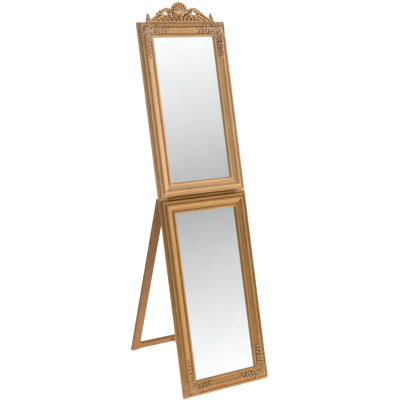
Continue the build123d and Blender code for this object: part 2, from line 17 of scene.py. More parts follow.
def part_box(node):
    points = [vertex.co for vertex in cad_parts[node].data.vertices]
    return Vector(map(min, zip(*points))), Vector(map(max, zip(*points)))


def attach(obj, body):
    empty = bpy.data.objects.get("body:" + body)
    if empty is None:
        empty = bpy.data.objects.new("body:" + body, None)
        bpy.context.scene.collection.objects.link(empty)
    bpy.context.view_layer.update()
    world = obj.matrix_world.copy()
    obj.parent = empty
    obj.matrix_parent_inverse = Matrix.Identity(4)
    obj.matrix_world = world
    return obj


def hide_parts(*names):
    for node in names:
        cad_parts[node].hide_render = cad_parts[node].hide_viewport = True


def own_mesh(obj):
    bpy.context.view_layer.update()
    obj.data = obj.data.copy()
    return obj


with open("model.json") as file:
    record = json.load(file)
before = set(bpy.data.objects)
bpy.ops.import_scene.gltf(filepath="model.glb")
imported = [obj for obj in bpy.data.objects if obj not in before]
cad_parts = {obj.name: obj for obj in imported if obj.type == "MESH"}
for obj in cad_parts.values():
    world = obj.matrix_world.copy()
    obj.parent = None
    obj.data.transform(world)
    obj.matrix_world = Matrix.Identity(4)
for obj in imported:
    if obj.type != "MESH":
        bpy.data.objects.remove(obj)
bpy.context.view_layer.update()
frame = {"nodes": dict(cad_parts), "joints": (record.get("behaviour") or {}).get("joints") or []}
NODES = frame["nodes"]
print("pieces loaded:", len(NODES))

# %% [markdown]
# ## Axes that lean with the mirror
# Mouldings and carvings are easiest to think about with the mirror stood upright: x runs across,
# z runs up the frame and y runs into it, with y = 0 on the frontmost line of the moulding and
# z = 0 at the lower frame's bottom edge. The fold hinge's axis is a known point of both systems,
# so one matrix leads from the upright drawing, in millimetres, to the leaning mirror, in metres.

# %% Upright drawing to leaning mirror
MM = 0.001
LEAN = math.radians(15.26)      # of both frames, from upright
SPREAD = math.radians(36.5)     # between the frames and the open easel
UPPER_TOP = 1707.0              # the upper frame's top edge, up the mirror
FRAME_WIDTH = 450.0
FOLD_AXIS = (0.0, -3.0, 900.5)

JOINTS = {joint["name"]: joint for joint in frame["joints"]}
TILT = Matrix.Rotation(-LEAN, 4, "X")


def upright_to_world():
    """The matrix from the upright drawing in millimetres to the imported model's frame."""
    hinge = Vector(JOINTS["upper_fold"]["pos_m"])
    origin = hinge - TILT @ (Vector(FOLD_AXIS) * MM)
    return Matrix.Translation(origin) @ TILT @ Matrix.Scale(MM, 4)


PANEL = upright_to_world()
print("lower frame's bottom front line:", tuple(round(v, 4) for v in PANEL.translation))

# %% [markdown]
# ## The camera
# A long lens keeps the mirror's sides nearly straight. It stands to the left, at eye height, and
# looks down a little, so the mirror shows its front, its left edge and the easel's near leg.

# %% The camera
CAMERA_PLACE = (-1.6361, -3.0775, 1.6806)
CAMERA_YAW = math.radians(28.212)
CAMERA_DIP = math.radians(13.643)
CAMERA_LENS = 68.64
SENSOR = 36.0


def add_camera():
    data = bpy.data.cameras.new("studio_camera")
    data.lens = CAMERA_LENS
    data.sensor_width = SENSOR
    data.clip_start = 0.05
    data.clip_end = 100
    camera = bpy.data.objects.new("studio_camera", data)
    camera.location = CAMERA_PLACE
    camera.rotation_euler = (math.pi / 2 - CAMERA_DIP, 0, -CAMERA_YAW)
    bpy.context.scene.collection.objects.link(camera)
    bpy.context.scene.camera = camera


add_camera()
print("lens of", CAMERA_LENS, "mm at a height of", CAMERA_PLACE[2], "m")

# %% [markdown]
# ## Helpers for shaders
# Colours are written as the hex values a painter would pick on a screen, and one function turns
# them into the linear values that light needs. One more function adds a node, sets its fields
# and links its inputs, so that a material reads as a list of what it is made of.

# %% Colours and nodes


def linear(code):
    """An sRGB hex colour as linear red, green, blue, alpha."""
    channels = [int(code[i:i + 2], 16) / 255 for i in (1, 3, 5)]
    bent = [c / 12.92 if c <= 0.04045 else ((c + 0.055) / 1.055) ** 2.4 for c in channels]
    return (*bent, 1.0)


def add_node(tree, kind, inputs=None, stops=(), **settings):
    """A new node. kind is Blender's name for it, without "ShaderNode".

    inputs maps a socket's name or number to another node's output or to a value, where a string
    is a hex colour. stops are a colour ramp's places and colours, each a hex colour or a grey.
    """
    node = tree.nodes.new("ShaderNode" + kind)
    for name, value in settings.items():
        setattr(node, name, value)
    for key, value in (inputs or {}).items():
        if isinstance(value, bpy.types.NodeSocket):
            tree.links.new(value, node.inputs[key])
        else:
            node.inputs[key].default_value = linear(value) if isinstance(value, str) else value
    if stops:
        elements = node.color_ramp.elements
        while len(elements) < len(stops):
            elements.new(0.5)
        for element, (place, colour) in zip(elements, stops):
            element.position = place
            element.color = linear(colour) if isinstance(colour, str) else (colour,) * 3 + (1.0,)
    return node


def new_material(name):
    """An empty material, its node tree and its output."""
    material = bpy.data.materials.new(name)
    material.use_nodes = True
    tree = material.node_tree
    tree.nodes.clear()
    output = tree.nodes.new("ShaderNodeOutputMaterial")
    return material, tree, output


print("a middle grey of #808080 is", round(linear("#808080")[0], 3), "as light")

# %% [markdown]
# ## The room
# A photographer shoots a mirror in a plain room, because the mirror shows the room. Here the room
# is the world shader, and it depends on who looks at it. To the lens it is pure white. To a matt
# surface it is a dome that dims towards the ceiling, with a dark wall on the left and a bright
# one on the right, so that the carving gets a shaded and a lit side. To anything glossy it has
# the same walls, a dim ceiling and one soft grey band a little above the horizon. That band is
# what fades the glass from white to grey and back again.

# %% The room
BAND_HEIGHT = 13.3      # degrees above the horizon
BAND_REACH = 12.0       # degrees from the band's middle to its edge
BAND_GREY = 0.47
ROOM_WHITE = 1.05
CEILING_EDGE = 40       # degrees up, where the room starts to dim
CEILING_FULL = 68
CEILING_GREY = 0.22
RIGHT_LIFT = 1.6        # the brightness of the far right
LEFT_GREY = 0.26        # the far left, as a share of the far right
WALLS = [(0.0, LEFT_GREY), (0.45, 0.35), (0.67, 1 / RIGHT_LIFT), (0.80, 1 / RIGHT_LIFT),
         (0.97, 1.0)]   # shares of RIGHT_LIFT, from the far left to the far right
DOME = [(0.0, 0.95), (0.45, 0.55), (0.9, 0.30)]     # by the sine of the height, from the horizon
ROOM_LIGHT = 1.0


def sine(degrees):
    return math.sin(math.radians(degrees))


def light_room():
    """White to the lens, softer as a light, and with a grey band for reflections."""
    world = bpy.data.worlds.new("white_room")
    bpy.context.scene.world = world
    world.use_nodes = True
    tree = world.node_tree
    tree.nodes.clear()
    ray = add_node(tree, "LightPath").outputs
    sky = add_node(tree, "TexCoord").outputs["Generated"]
    split = add_node(tree, "SeparateXYZ", {0: sky}).outputs
    # x runs from -1 to 1, and a ramp reads 0 to 1, so x is halved and raised
    rightness = add_node(tree, "Math", {0: split["X"], 1: 0.5, 2: 0.5}, operation="MULTIPLY_ADD")
    share = add_node(tree, "ValToRGB", {"Fac": rightness.outputs[0]}, WALLS).outputs["Color"]
    walls = add_node(tree, "Math", {0: share, 1: RIGHT_LIFT}, operation="MULTIPLY").outputs[0]
    low, middle, high = (sine(BAND_HEIGHT + step) for step in (-BAND_REACH, 0, BAND_REACH))
    heights = [(low, ROOM_WHITE), (middle, BAND_GREY), (high, ROOM_WHITE),
               (sine(CEILING_EDGE), 0.9), (sine(CEILING_FULL), CEILING_GREY)]
    band = add_node(tree, "ValToRGB", {"Fac": split["Z"]}, heights).outputs["Color"]
    dome = add_node(tree, "ValToRGB", {"Fac": split["Z"]}, DOME).outputs["Color"]
    shown = add_node(tree, "Math", {0: band, 1: walls}, operation="MULTIPLY").outputs[0]
    shed = add_node(tree, "Math", {0: dome, 1: walls}, operation="MULTIPLY").outputs[0]
    glossy = add_node(tree, "Background", {"Color": shown, "Strength": 1.0})
    diffuse = add_node(tree, "Background", {"Color": shed, "Strength": ROOM_LIGHT})
    white = add_node(tree, "Background", {"Color": (1, 1, 1, 1), "Strength": ROOM_WHITE})
    lit = add_node(tree, "MixShader",
                   {0: ray["Is Glossy Ray"], 1: diffuse.outputs[0], 2: glossy.outputs[0]})
    seen = add_node(tree, "MixShader",
                    {0: ray["Is Camera Ray"], 1: lit.outputs[0], 2: white.outputs[0]})
    add_node(tree, "OutputWorld", {"Surface": seen.outputs[0]})


light_room()
bpy.context.scene.view_settings.view_transform = "Standard"
bpy.context.scene.view_settings.look = "None"
print("grey band from", round(BAND_HEIGHT - BAND_REACH, 1), "to",
      round(BAND_HEIGHT + BAND_REACH, 1), "degrees above the horizon")

# %% [markdown]
# ## Lamps
# The key is a large soft box at mid height, in front and to the right, so each bead of the
# moulding gets a bright right flank and a dark left one. A larger, weaker panel on the left
# opens the shadows, and a strip at the right, just behind the mirror, lights its outer edge.

# %% Lamps


def add_soft_box(name, place, target, size, power):
    """A square lamp at place that looks at target."""
    lamp = bpy.data.lights.new(name, "AREA")
    lamp.shape = "SQUARE"
    lamp.size = size
    lamp.energy = power
    holder = bpy.data.objects.new(name, lamp)
    holder.location = place
    aim = Vector(target) - Vector(place)
    holder.rotation_euler = aim.to_track_quat("-Z", "Y").to_euler()
    holder.visible_glossy = False
    bpy.context.scene.collection.objects.link(holder)


add_soft_box("key_soft_box", (3.0, -2.2, 1.3), (0, 0, 0.9), 1.6, 150)
add_soft_box("fill_panel", (-2.2, -3.2, 1.4), (0, 0, 0.8), 2.0, 32)
add_soft_box("edge_strip", (2.6, 0.5, 1.9), (0.2, 0, 1.3), 1.4, 26)
print("lamps:", len(bpy.data.lights))

# %% [markdown]
# ## The floor
# The floor is a wide sheet of matt paper that glows until it almost melts into the room. It is
# also painted light: a glowing pool in front of the mirror throws more light up than the paper
# round it, and so does the paper far out to the right, in place of light that paper would
# bounce. Both are drawn as a glow of the paper itself.

# %% The floor
FLOOR_RADIUS = 30
FLOOR_LIFT = 0.85       # the paper's glow to the lens
POOL_CENTRE = (0.35, -0.6, 0.0)
POOL_RADIUS = (0.5, 1.8)        # where the pool starts to fade, and where it ends
POOL_GLOW = 1.15      # the glow that lights the mirror: in the pool, and outside it
FAR_GLOW = 0.40
RIGHT_GLOW = 1.5      # and added from FLOOR_RIGHT's first x to its second
FLOOR_RIGHT = (3.8, 6.5)
PAPER_FIBRES = 900.0    # per metre: 1.1 mm apart, as real ones are too fine to show


def floor_paper():
    """Pale matt paper, lifted by a glow so that it stays nearly white under the mirror."""
    material, tree, output = new_material("studio_paper")
    coordinates = add_node(tree, "TexCoord").outputs["Object"]
    fibres = add_node(tree, "TexNoise",
                      {"Vector": coordinates, "Scale": PAPER_FIBRES, "Detail": 2.0})
    tone = add_node(tree, "ValToRGB", {"Fac": fibres.outputs["Fac"]},
                    [(0.3, "#bab9b8"), (0.7, "#c1c0bf")])
    paper = add_node(tree, "BsdfDiffuse", {"Color": tone.outputs["Color"], "Roughness": 0.0})
    seen = add_node(tree, "LightPath").outputs["Is Camera Ray"]
    away = add_node(tree, "VectorMath", {0: coordinates, 1: POOL_CENTRE}, operation="DISTANCE")
    pool = add_node(tree, "MapRange",
                    {"Value": away.outputs["Value"], "From Min": POOL_RADIUS[0],
                     "From Max": POOL_RADIUS[1], "To Min": POOL_GLOW, "To Max": FAR_GLOW},
                    interpolation_type="SMOOTHSTEP")
    right = add_node(tree, "SeparateXYZ", {0: coordinates}).outputs["X"]
    side = add_node(tree, "MapRange",
                    {"Value": right, "From Min": FLOOR_RIGHT[0], "From Max": FLOOR_RIGHT[1],
                     "To Min": 0.0, "To Max": RIGHT_GLOW}, interpolation_type="SMOOTHSTEP")
    # painted light: the glow of the pool and of the far right lights the mirror in place of bounced
    # light
    painted_bounce_glow = add_node(tree, "Math", {0: pool.outputs[0], 1: side.outputs[0]})
    glow = add_node(tree, "MapRange",
                    {"Value": seen, "To Min": painted_bounce_glow.outputs[0], "To Max": FLOOR_LIFT})
    lamp = add_node(tree, "Emission", {"Color": (1, 1, 1, 1), "Strength": glow.outputs[0]})
    both = add_node(tree, "AddShader", {0: paper.outputs[0], 1: lamp.outputs[0]})
    tree.links.new(both.outputs[0], output.inputs[0])
    return material


def add_floor():
    bpy.ops.mesh.primitive_circle_add(vertices=96, radius=FLOOR_RADIUS, fill_type="NGON")
    floor = bpy.context.object
    floor.name = "studio_floor"
    floor.data.materials.append(floor_paper())


add_floor()
print("floor radius:", FLOOR_RADIUS, "m")

# %% [markdown]
# ## Gilt paint
# Cheap picture frames are gilded with bronze powder in lacquer over smooth gesso. The powder
# gives a satin metal sheen, and the brush leaves faint strokes along each bar. The grooves are
# darkened with umber, partly a thin glaze that stays in them and partly painted shade. An
# ambient occlusion node finds the grooves, because it measures how shut in each point is.

# %% The gilt finish
STROKE_WIDTH = 0.0045   # real strokes are under a millimetre, and wouldn't show
STROKE_LENGTH = 0.11
STROKE_RELIEF = 0.0006
CLOUD_SIZE = 0.06
GLAZE_AND_SHADE_REACH = 0.004     # a groove this narrow gets the umber glaze and painted shade
GLAZE_AND_SHADE_WIPE = [(0.08, 0.0), (0.45, 1.0)]     # from shut in, all glaze and painted shade, to open, all gold
SHARE, FIRST, SECOND, MIXED = 0, 6, 7, 2    # the numbers of a colour mixer's sockets


def along_grain(tree, lengthwise, lean, across, along):
    """Object coordinates turned by lean about X and stretched along one axis, 'X' or 'Z'."""
    place = add_node(tree, "TexCoord").outputs["Object"]
    turned = add_node(tree, "Mapping", {"Vector": place, "Rotation": (lean, 0, 0)})
    scale = [1 / across] * 3
    scale["XYZ".index(lengthwise)] = 1 / along
    return add_node(tree, "Mapping", {"Vector": turned.outputs[0], "Scale": scale}).outputs[0]


def gilt_wood(name, lengthwise, lean, tones, glaze_and_shade, roughness=0.33, metal=0.8):
    """Bronze-powder paint on a bar of wood. tones are its dark and its light strokes."""
    material, tree, output = new_material(name)
    strokes = add_node(tree, "TexNoise",
                       {"Vector": along_grain(tree, lengthwise, lean, STROKE_WIDTH, STROKE_LENGTH),
                        "Scale": 1.0, "Detail": 3.0, "Roughness": 0.6})
    clouds = add_node(tree, "TexNoise",
                      {"Vector": along_grain(tree, lengthwise, lean, CLOUD_SIZE, CLOUD_SIZE * 2),
                       "Scale": 1.0, "Detail": 2.0})
    streaked = add_node(tree, "ValToRGB", {"Fac": strokes.outputs["Fac"]},
                        [(0.30, tones[0]), (0.70, tones[1])])
    clouded = add_node(tree, "ValToRGB", {"Fac": clouds.outputs["Fac"]}, [(0.3, 0.90), (0.7, 1.0)])
    gold = add_node(tree, "Mix", {SHARE: 1.0, FIRST: streaked.outputs["Color"],
                                  SECOND: clouded.outputs["Color"]},
                    data_type="RGBA", blend_type="MULTIPLY")
    # painted shade: umber, partly glaze, darkens the grooves that ambient occlusion finds
    open_air = add_node(tree, "AmbientOcclusion", {"Distance": GLAZE_AND_SHADE_REACH}, samples=8)
    umber_and_shade_mask = add_node(tree, "ValToRGB", {"Fac": open_air.outputs["AO"]}, GLAZE_AND_SHADE_WIPE)
    colour = add_node(tree, "Mix", {SHARE: umber_and_shade_mask.outputs["Color"], FIRST: glaze_and_shade,
                                    SECOND: gold.outputs[MIXED]}, data_type="RGBA")
    bump = add_node(tree, "Bump",
                    {"Height": strokes.outputs["Fac"], "Distance": STROKE_RELIEF, "Strength": 0.25})
    sheen = add_node(tree, "ValToRGB", {"Fac": strokes.outputs["Fac"]},
                     [(0.3, roughness - 0.05), (0.7, roughness + 0.07)])
    paint = add_node(tree, "BsdfPrincipled",
                     {"Base Color": colour.outputs[MIXED], "Metallic": metal,
                      "Roughness": sheen.outputs["Color"], "Normal": bump.outputs[0]})
    tree.links.new(paint.outputs[0], output.inputs[0])
    return material


def finish_node(material, slot, *names):
    """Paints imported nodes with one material."""
    for name in names:
        node = NODES[name]
        node.data.materials.clear()
        node.data.materials.append(material)
        for polygon in node.data.polygons:
            polygon.use_smooth = False


UPPER_GOLD = ("#d1a370", "#e2b686")
TOP_GOLD_SHADED = ("#b78c5e", "#c79d72")       # painted shade: the top rail's coat is browner and darker than the rest of the upper frame's
LOWER_GOLD = ("#ad7e48", "#bf915c")
EASEL_GOLD = ("#936434", "#a67745")
# the grooves' umber: a glaze, and painted shade
UMBER_AND_SHADE = "#71502a"
EASEL_LEAN = SPREAD - LEAN
EASEL_COAT = {"roughness": 0.5, "metal": 0.35}      # one thin coat, with less powder in it

gilt_rail_top_shaded = gilt_wood("bronze_paint_top_rail_shaded", "X", LEAN, TOP_GOLD_SHADED, UMBER_AND_SHADE)
gilt_rail_upper = gilt_wood("bronze_paint_upper_rail", "X", LEAN, UPPER_GOLD, UMBER_AND_SHADE)
gilt_stile_upper = gilt_wood("bronze_paint_upper_stile", "Z", LEAN, UPPER_GOLD, UMBER_AND_SHADE)
gilt_rail_lower = gilt_wood("bronze_paint_lower_rail", "X", LEAN, LOWER_GOLD, UMBER_AND_SHADE)
gilt_stile_lower = gilt_wood("bronze_paint_lower_stile", "Z", LEAN, LOWER_GOLD, UMBER_AND_SHADE)
gilt_easel_leg = gilt_wood("bronze_paint_easel_leg", "Z", -EASEL_LEAN, EASEL_GOLD, UMBER_AND_SHADE,
                           **EASEL_COAT)
gilt_easel_rail = gilt_wood("bronze_paint_easel_rail", "X", -EASEL_LEAN, EASEL_GOLD, UMBER_AND_SHADE,
                            **EASEL_COAT)

finish_node(gilt_rail_top_shaded, "gilt_moulding", "upper_top_rail")
finish_node(gilt_rail_upper, "gilt_moulding", "upper_bottom_rail")
finish_node(gilt_stile_upper, "gilt_moulding", "upper_left_stile", "upper_right_stile")
finish_node(gilt_rail_lower, "gilt_moulding", "lower_top_rail", "lower_bottom_rail")
finish_node(gilt_stile_lower, "gilt_moulding", "lower_left_stile", "lower_right_stile")
finish_node(gilt_easel_leg, "gilt_easel", "easel_left_leg", "easel_right_leg")
finish_node(gilt_easel_rail, "gilt_easel", "easel_top_rail", "easel_bottom_rail")
print("finishes so far:", len(bpy.data.materials))

# %% [markdown]
# ## Mirror glass, hardboard and metal fittings
# Mirror glass is float glass silvered on its back, so nearly everything it shows is a sharp
# reflection, faintly green. The backs are closed with pressed hardboard, whose rough side shows
# the print of the wire mesh it was pressed on. The hinges and screws are brassed steel, the
# tabs, nails and plates are zinc-plated, and the screw eyes are brass gone dull and brown. Most
# patterns are counted per metre, and the finest are coarser than real ones, so that they show.

# %% Glass and board
GLASS_WAVES = 9.0       # per metre: float glass is wavy over about 11 cm
BOARD_FIBRES = 600.0    # 1.7 mm
BOARD_BLOTCHES = 14.0   # 7 cm
MESH_HOLES = 500.0      # 2 mm
MESH_RELIEF = 0.0006


def silvered_glass():
    """Silver behind float glass: nearly all mirror, with a trace of green and of haze."""
    material, tree, output = new_material("silvered_float_glass")
    place = add_node(tree, "TexCoord").outputs["Object"]
    waves = add_node(tree, "TexNoise", {"Vector": place, "Scale": GLASS_WAVES, "Detail": 1.0})
    tint = add_node(tree, "ValToRGB", {"Fac": waves.outputs["Fac"]},
                    [(0.3, "#f4f6f5"), (0.7, "#f8f9f9")])
    haze = add_node(tree, "ValToRGB", {"Fac": waves.outputs["Fac"]}, [(0.3, 0.004), (0.7, 0.012)])
    silver = add_node(tree, "BsdfPrincipled",
                      {"Base Color": tint.outputs["Color"], "Metallic": 1.0,
                       "Roughness": haze.outputs["Color"]})
    tree.links.new(silver.outputs[0], output.inputs[0])
    return material


def pressed_hardboard():
    """Brown wood fibre pressed on a mesh: dull, blotched and pricked all over."""
    material, tree, output = new_material("pressed_hardboard")
    place = add_node(tree, "TexCoord").outputs["Object"]
    fibres = add_node(tree, "TexNoise", {"Vector": place, "Scale": BOARD_FIBRES, "Detail": 4.0})
    blotches = add_node(tree, "TexNoise", {"Vector": place, "Scale": BOARD_BLOTCHES, "Detail": 3.0})
    mesh_print = add_node(tree, "TexVoronoi", {"Vector": place, "Scale": MESH_HOLES})
    brown = add_node(tree, "ValToRGB", {"Fac": fibres.outputs["Fac"]},
                     [(0.3, "#5f4128"), (0.7, "#87623f")])
    shade = add_node(tree, "ValToRGB", {"Fac": blotches.outputs["Fac"]}, [(0.3, 0.82), (0.7, 1.0)])
    colour = add_node(tree, "Mix", {SHARE: 1.0, FIRST: brown.outputs["Color"],
                                    SECOND: shade.outputs["Color"]},
                      data_type="RGBA", blend_type="MULTIPLY")
    bump = add_node(tree, "Bump",
                    {"Height": mesh_print.outputs["Distance"], "Distance": MESH_RELIEF,
                     "Strength": 0.5})
    board = add_node(tree, "BsdfPrincipled",
                     {"Base Color": colour.outputs[MIXED], "Roughness": 0.75,
                      "Normal": bump.outputs[0]})
    tree.links.new(board.outputs[0], output.inputs[0])
    return material


finish_node(silvered_glass(), "mirror_glass", "lower_mirror_glass", "upper_mirror_glass")
finish_node(pressed_hardboard(), "hardboard", "lower_backing_board", "upper_backing_board")
print("finishes so far:", len(bpy.data.materials))

# %% Plated metal and beech
DULL_CLOUDS = 60.0      # per metre: 17 mm
ROLLING_MARKS = (40.0, 900.0, 900.0)    # 25 mm long and 1.1 mm wide
MARK_RELIEF = 0.0001
BEECH_GRAIN = (0.0012, 0.02)            # across and along, in metres


def plated_steel(name, tones, roughness):
    """A bright plating over stamped steel, with rolling marks and a few dull clouds."""
    material, tree, output = new_material(name)
    place = add_node(tree, "TexCoord").outputs["Object"]
    clouds = add_node(tree, "TexNoise", {"Vector": place, "Scale": DULL_CLOUDS, "Detail": 4.0})
    stretched = add_node(tree, "Mapping", {"Vector": place, "Scale": ROLLING_MARKS})
    marks = add_node(tree, "TexNoise", {"Vector": stretched.outputs[0], "Scale": 1.0})
    colour = add_node(tree, "ValToRGB", {"Fac": clouds.outputs["Fac"]},
                      [(0.3, tones[0]), (0.7, tones[1])])
    dull = add_node(tree, "ValToRGB", {"Fac": clouds.outputs["Fac"]},
                    [(0.3, roughness - 0.06), (0.7, roughness + 0.08)])
    bump = add_node(tree, "Bump",
                    {"Height": marks.outputs["Fac"], "Distance": MARK_RELIEF, "Strength": 0.3})
    metal = add_node(tree, "BsdfPrincipled",
                     {"Base Color": colour.outputs["Color"], "Metallic": 1.0,
                      "Roughness": dull.outputs["Color"], "Normal": bump.outputs[0]})
    tree.links.new(metal.outputs[0], output.inputs[0])
    return material


def turned_beech():
    """Bare beech turned to a peg: pale and dull, with short streaks."""
    material, tree, output = new_material("turned_beech")
    grain = along_grain(tree, "X", 0, *BEECH_GRAIN)
    figure = add_node(tree, "TexNoise", {"Vector": grain, "Scale": 1.0, "Detail": 3.0})
    colour = add_node(tree, "ValToRGB", {"Fac": figure.outputs["Fac"]},
                      [(0.3, "#b98a5b"), (0.7, "#d6ae80")])
    wood = add_node(tree, "BsdfPrincipled",
                    {"Base Color": colour.outputs["Color"], "Roughness": 0.6})
    tree.links.new(wood.outputs[0], output.inputs[0])
    return material


BRASSED = plated_steel("brassed_steel", ("#937138", "#b8924f"), 0.34)
OLD_BRASS = plated_steel("tarnished_brass", ("#4f3b1d", "#7b6234"), 0.45)
ZINC = plated_steel("zinc_plated_steel", ("#9da1a3", "#c3c6c8"), 0.38)

finish_node(turned_beech(), "beech_dowel", "easel_dowels")
for name in NODES:
    if name.endswith(("tabs", "nails")) or name in ("crest_plates", "crest_screws"):
        finish_node(ZINC, "zinc_steel", name)
    elif name.endswith("screws"):
        finish_node(BRASSED, "brassed_screws", name)
    elif "hinge" in name:
        finish_node(BRASSED, "brassed_hinge", name)
    elif name.endswith("screw_eye"):
        finish_node(OLD_BRASS, "chain_brass", name)
print("finishes so far:", len(bpy.data.materials))

# %% [markdown]
# ## The spread chain
# A short chain between two screw eyes stops the easel from sliding open. Its links are bent
# brass ovals, tarnished like the eyes, each turned a quarter against the last. A real chain goes
# slack when the easel folds. One piece can't do that, and this one moves with the lower frame.

# %% Links from eye to eye
LINK_WIRE = 1.0 * MM
LINK_HALF_WIDTH = 5.5 * MM
LINK_PITCH = 18.66 * MM
LINKS = 29
EYE_REACH = 6.2 * MM    # from a screw eye's centre to the outside of its ring
RING_STEPS = 28
WIRE_STEPS = 8


def eye_centres():
    """Centres of the screw eyes. The frame's ring points back and the easel's points forward."""
    frame_low, frame_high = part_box("frame_screw_eye")
    easel_low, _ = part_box("easel_screw_eye")
    frame_eye = Vector((0, frame_high.y - EYE_REACH, frame_low.z + EYE_REACH))
    easel_eye = Vector((0, easel_low.y + EYE_REACH, easel_low.z + EYE_REACH))
    return frame_eye, easel_eye


def oval_line(half_length, half_width):
    """Points round a link's centreline: two straights and two half circles, in its own plane."""
    points = []
    straight = half_length - half_width
    for step in range(RING_STEPS):
        angle = 2 * math.pi * step / RING_STEPS
        end = straight if math.cos(angle) > 0 else -straight
        points.append((end + half_width * math.cos(angle), half_width * math.sin(angle)))
    return points


def add_link(points, faces, centre, forward, side):
    """One wire oval round centre, its length along forward and its width along side."""
    first = len(points)
    thickness = forward.cross(side)
    line = oval_line(LINK_PITCH / 2 + LINK_WIRE, LINK_HALF_WIDTH - LINK_WIRE)
    for index, (along, across) in enumerate(line):
        before, after = line[index - 1], line[(index + 1) % len(line)]
        tangent = Vector((after[0] - before[0], after[1] - before[1])).normalized()
        outward = forward * tangent.y - side * tangent.x
        for turn in range(WIRE_STEPS):
            angle = 2 * math.pi * turn / WIRE_STEPS
            wire = outward * math.cos(angle) + thickness * math.sin(angle)
            points.append(centre + forward * along + side * across + wire * LINK_WIRE)
    for index in range(RING_STEPS):
        following = (index + 1) % RING_STEPS
        for turn in range(WIRE_STEPS):
            other = (turn + 1) % WIRE_STEPS
            near, far = first + index * WIRE_STEPS, first + following * WIRE_STEPS
            faces.append([near + turn, near + other, far + other, far + turn])


def make_object(name, points, faces, material):
    """A smooth-shaded mesh object."""
    mesh = bpy.data.meshes.new(name)
    mesh.from_pydata([tuple(point) for point in points], [], faces)
    mesh.validate()
    mesh.polygons.foreach_set("use_smooth", [True] * len(mesh.polygons))
    mesh.materials.append(material)
    made = bpy.data.objects.new(name, mesh)
    bpy.context.scene.collection.objects.link(made)
    return made


def add_chain():
    frame_eye, easel_eye = eye_centres()
    forward = (easel_eye - frame_eye).normalized()
    across = Vector((1, 0, 0))
    middle = (frame_eye + easel_eye) / 2
    points, faces = [], []
    for index in range(LINKS):
        centre = middle + forward * LINK_PITCH * (index - (LINKS - 1) / 2)
        side = across if index % 2 == 0 else forward.cross(across)
        add_link(points, faces, centre, forward, side)
    chain = make_object("brass_chain", points, faces, OLD_BRASS)
    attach(chain, "lower_panel")
    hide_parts("spread_chain")
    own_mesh(chain)
    print("chain of", LINKS, "links spans", round((easel_eye - frame_eye).length, 4), "m")


add_chain()

# %% [markdown]
# ## Carving in relief
# The crest and the corner pieces are cast in resin from a carved master. A carver works with a
# few shapes again and again: a leaf with a hollow midrib, a ribbed scroll band, and a bead. Here
# each is a closed strip that follows a line drawn on the front of the frame, with a domed
# section. The strips overlap, and are fused later.

# %% Smooth lines and closed strips
SEEDED = random.Random(17)
LEAST_THICKNESS = 0.3   # mm


def smooth_line(points, count):
    """A smooth line of count points through a few (x, z) points, by Catmull-Rom curves."""
    knots = np.array([points[0], *points, points[-1]], float)
    line = []
    for t in np.linspace(0, len(points) - 1, count):
        k = min(int(t), len(points) - 2)
        u = t - k
        a, b, c, d = knots[k:k + 4]
        line.append(0.5 * (2 * b + (c - a) * u + (2 * a - 5 * b + 4 * c - d) * u * u
                           + (3 * b - a - 3 * c + d) * u ** 3))
    return np.array(line)


def closed_patch(front, back_depth):
    """Points and faces of a solid between a grid of (x, depth, z) points and a back depth."""
    rows, columns, _ = front.shape
    back = front.copy()
    back[:, :, 1] = np.maximum(back_depth, front[:, :, 1] + LEAST_THICKNESS)
    points = np.concatenate([front.reshape(-1, 3), back.reshape(-1, 3)])
    total = rows * columns
    faces = []
    for i in range(rows - 1):
        for j in range(columns - 1):
            a = i * columns + j
            quad = (a, a + 1, a + columns + 1, a + columns)
            faces.append(quad)
            faces.append(tuple(total + v for v in reversed(quad)))
    rim = [i * columns for i in range(rows)]
    rim += [(rows - 1) * columns + j for j in range(1, columns)]
    rim += [i * columns + columns - 1 for i in range(rows - 2, -1, -1)]
    rim += list(range(columns - 2, 0, -1))
    for here, there in zip(rim, rim[1:] + rim[:1]):
        faces.append((here, there, total + there, total + here))
    return points, faces


# %% [markdown]
# ## Leaves, bands and beads
# A strip's section is a dome. A leaf has a deep, narrow groove down its middle and a band a
# shallower, wider one, and a skin keeps one height from edge to edge. A carver also keeps each
# leaf flowing over the moulding instead of dropping into every hollow, so a strip bridges them.

# %% The relief
GROOVES = {"leaf": (0.55, 0.16), "band": (0.5, 0.22)}   # depth and half width, as shares
FREE_FRONT = -60.0      # mm: no leaf ever comes this far forward
BRIDGE_DEPTH = 2.5      # mm: how far a strip sinks into a hollow that it crosses
LOBE_LOW = 0.86         # a lobed leaf's width where it is pinched
LOBE_RISE = 0.22


def section_height(across, kind):
    """How high a strip's section stands, 0 to 1, at places from -1 to 1 across it."""
    if kind == "skin":
        return np.ones_like(across)
    dome = np.sqrt(np.clip(1 - across ** 2, 0, 1))
    depth, width = GROOVES.get(kind, (0.0, 1.0))
    return dome * (1 - depth * np.exp(-(across / width) ** 2))


